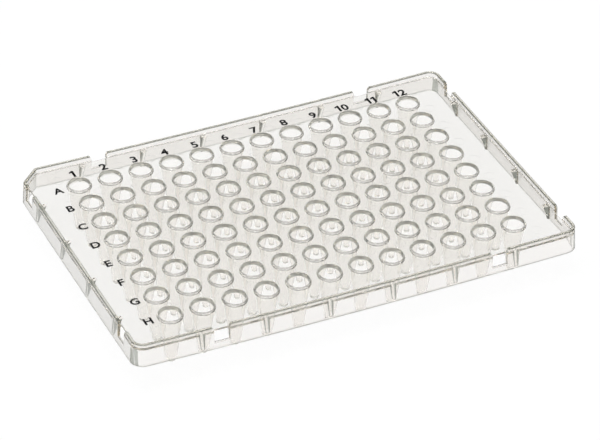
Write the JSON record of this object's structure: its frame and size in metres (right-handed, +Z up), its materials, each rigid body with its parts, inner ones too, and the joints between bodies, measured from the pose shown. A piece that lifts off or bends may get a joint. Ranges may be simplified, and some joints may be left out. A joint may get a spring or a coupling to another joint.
{
  "type": "96-well plate",
  "caption": "Low, half-skirted well plate in clear polypropylene: raised rims over tapered tubes, a notched skirt with gussets and one cut corner.",
  "frame": {"origin": "under the middle of the plate, in the plane of the well tips that it stands on", "axes": "+Z up out of the wells, +X along the rows from column 1 to column 12, +Y from row H to row A"},
  "size_m": [0.1278, 0.0854, 0.0156],
  "materials": {
    "clear_polypropylene": "clear, colourless moulded polypropylene with a smooth gloss",
    "black_print": "flat black pad-printed ink"
  },
  "bodies": {
    "root": {"plate": "clear_polypropylene"}
  },
  "joints": []
}
